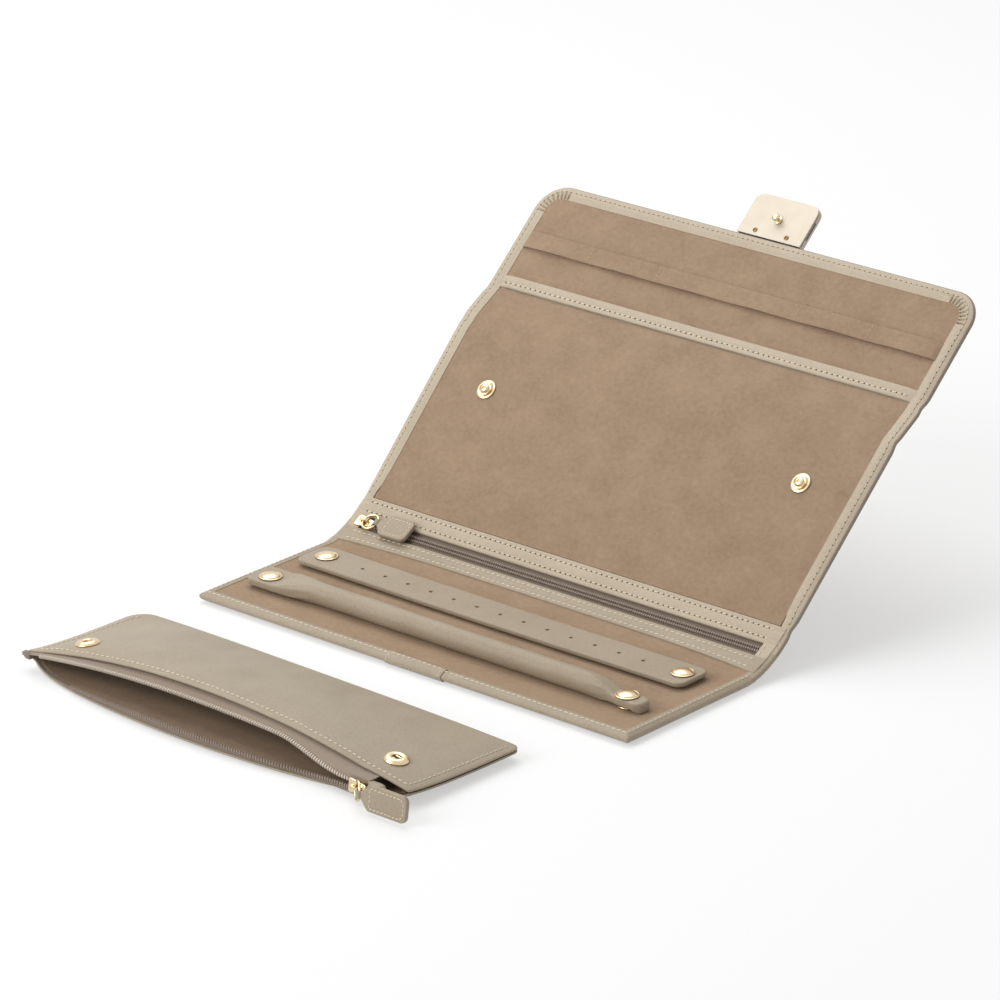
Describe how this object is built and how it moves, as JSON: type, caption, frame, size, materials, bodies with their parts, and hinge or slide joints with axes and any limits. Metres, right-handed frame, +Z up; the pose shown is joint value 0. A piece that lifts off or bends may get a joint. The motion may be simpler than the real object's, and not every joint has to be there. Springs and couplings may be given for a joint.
{
  "type": "jewelry roll",
  "caption": "Fold-out leather jewelry roll with suede lining, ring bar, earring strap, necklace band, zip pocket and flap clasp, and a loose zip pouch in front of it.",
  "frame": {"origin": "middle of the front panel's underside, on the table", "axes": "+X to the right along the folds, +Y from the front edge towards the back panel, +Z up"},
  "size_m": [0.2393, 0.3633, 0.142],
  "materials": {
    "leather": "pearly, fine grain",
    "suede": "napped suede",
    "board": "plain",
    "base_board": "dense, plain",
    "metal": "pale satin gold",
    "zip_tape": "woven",
    "zip_coil": "nylon coil"
  },
  "bodies": {
    "front_panel": {"front_leather": "leather", "front_board": "base_board", "front_lining": "suede", "catch_tab": "leather", "catch_socket": "metal", "ring_bar_anchor": "leather", "ring_bar_rivet": "metal", "ring_bar_stud": "metal", "earring_strap_anchor": "leather", "earring_strap_rivet": "metal", "earring_strap_stud": "metal"},
    "bar": {"ring_bar": "leather", "ring_bar_snap": "metal"},
    "strap": {"earring_strap": "leather", "earring_strap_snap": "metal"},
    "spine": {"spine_leather": "leather", "spine_lower_band": "leather", "spine_upper_band": "leather", "zip_tape_lower": "zip_tape", "zip_tape_upper": "zip_tape", "zip_coil_lower": "zip_coil", "zip_coil_upper": "zip_coil"},
    "zip_runner": {"zip_slider": "metal"},
    "zip_loop": {"zip_ring": "metal"},
    "zip_pull": {"zip_pull_tab": "leather"},
    "back_panel": {"back_leather": "leather", "back_board": "board", "back_lining": "suede", "pouch_stud_left": "metal", "pouch_stud_right": "metal"},
    "upper_spine": {"upper_spine_leather": "leather", "upper_spine_lining": "suede"},
    "flap": {"flap_leather": "leather", "flap_board": "board", "flap_lining": "suede", "pocket_binding": "leather", "necklace_band": "suede", "clasp_outer_plate": "metal", "clasp_inner_plate": "metal", "clasp_screw_left": "metal", "clasp_screw_right": "metal", "clasp_stud": "metal"},
    "pouch": {"pouch_upper_leather": "leather", "pouch_lower_leather": "leather", "pouch_upper_lining": "suede", "pouch_lower_lining": "suede", "pouch_tape_upper": "zip_tape", "pouch_tape_lower": "zip_tape", "pouch_coil_upper": "zip_coil", "pouch_coil_lower": "zip_coil", "pouch_zip_end_tab": "leather", "pouch_socket_left": "metal", "pouch_socket_right": "metal"},
    "pouch_runner": {"pouch_zip_slider": "metal"},
    "pouch_loop": {"pouch_zip_ring": "metal"},
    "pouch_pull": {"pouch_pull_tab": "leather"}
  },
  "joints": [
    {"name": "lower_fold", "type": "hinge", "parent": "front_panel", "child": "spine", "pos_m": [0, 0.041, 0.0043], "axis": [1, 0, 0], "range_deg": [-28, 59]},
    {"name": "back_fold", "type": "hinge", "parent": "spine", "child": "back_panel", "pos_m": [0, 0.0632, 0.01764], "axis": [1, 0, 0], "range_deg": [-5, 84.4]},
    {"name": "upper_fold", "type": "hinge", "parent": "back_panel", "child": "upper_spine", "pos_m": [0, 0.12855, 0.08097], "axis": [1, 0, 0], "range_deg": [0, 96.6]},
    {"name": "flap_fold", "type": "hinge", "parent": "upper_spine", "child": "flap", "pos_m": [0, 0.14622, 0.09117], "axis": [1, 0, 0], "range_deg": [-12, 78]},
    {"name": "ring_bar_lift", "type": "hinge", "parent": "front_panel", "child": "bar", "pos_m": [-0.0886, -0.0175, 0.009], "axis": [0, 1, 0], "range_deg": [-75, 0]},
    {"name": "earring_strap_lift", "type": "hinge", "parent": "front_panel", "child": "strap", "pos_m": [-0.0886, 0.0175, 0.0076], "axis": [0, 1, 0], "range_deg": [-75, 0]},
    {"name": "zip_slide", "type": "slide", "parent": "spine", "child": "zip_runner", "axis": [1, 0, 0], "range_m": [0, 0.205]},
    {"name": "zip_ring_swing", "type": "hinge", "parent": "zip_runner", "child": "zip_loop", "pos_m": [-0.1072, 0.052, 0.01162], "axis": [0, -0.8572, -0.515], "range_deg": [0, 150]},
    {"name": "zip_pull_swing", "type": "hinge", "parent": "zip_loop", "child": "zip_pull", "pos_m": [-0.09962, 0.05173, 0.01208], "axis": [0, 0.8572, 0.515], "range_deg": [-90, 0]},
    {"name": "pouch_slide", "type": "slide", "parent": "front_panel", "child": "pouch", "axis": [0, -1, 0], "range_m": [0, 0.1]},
    {"name": "pouch_zip_slide", "type": "slide", "parent": "pouch", "child": "pouch_runner", "axis": [-0.9998, 0.0209, 0], "range_m": [0, 0.1685], "deforming": ["pouch_tape_upper", "pouch_tape_lower", "pouch_coil_upper", "pouch_coil_lower"]},
    {"name": "pouch_ring_swing", "type": "hinge", "parent": "pouch_runner", "child": "pouch_loop", "pos_m": [0.07112, -0.1508, 0.00582], "axis": [-0.0029, -0.1391, -0.9903], "range_deg": [0, 110]},
    {"name": "pouch_pull_swing", "type": "hinge", "parent": "pouch_loop", "child": "pouch_pull", "pos_m": [0.07726, -0.15525, 0.00643], "axis": [0.0029, 0.1391, 0.9903], "range_deg": [-90, 0]}
  ]
}
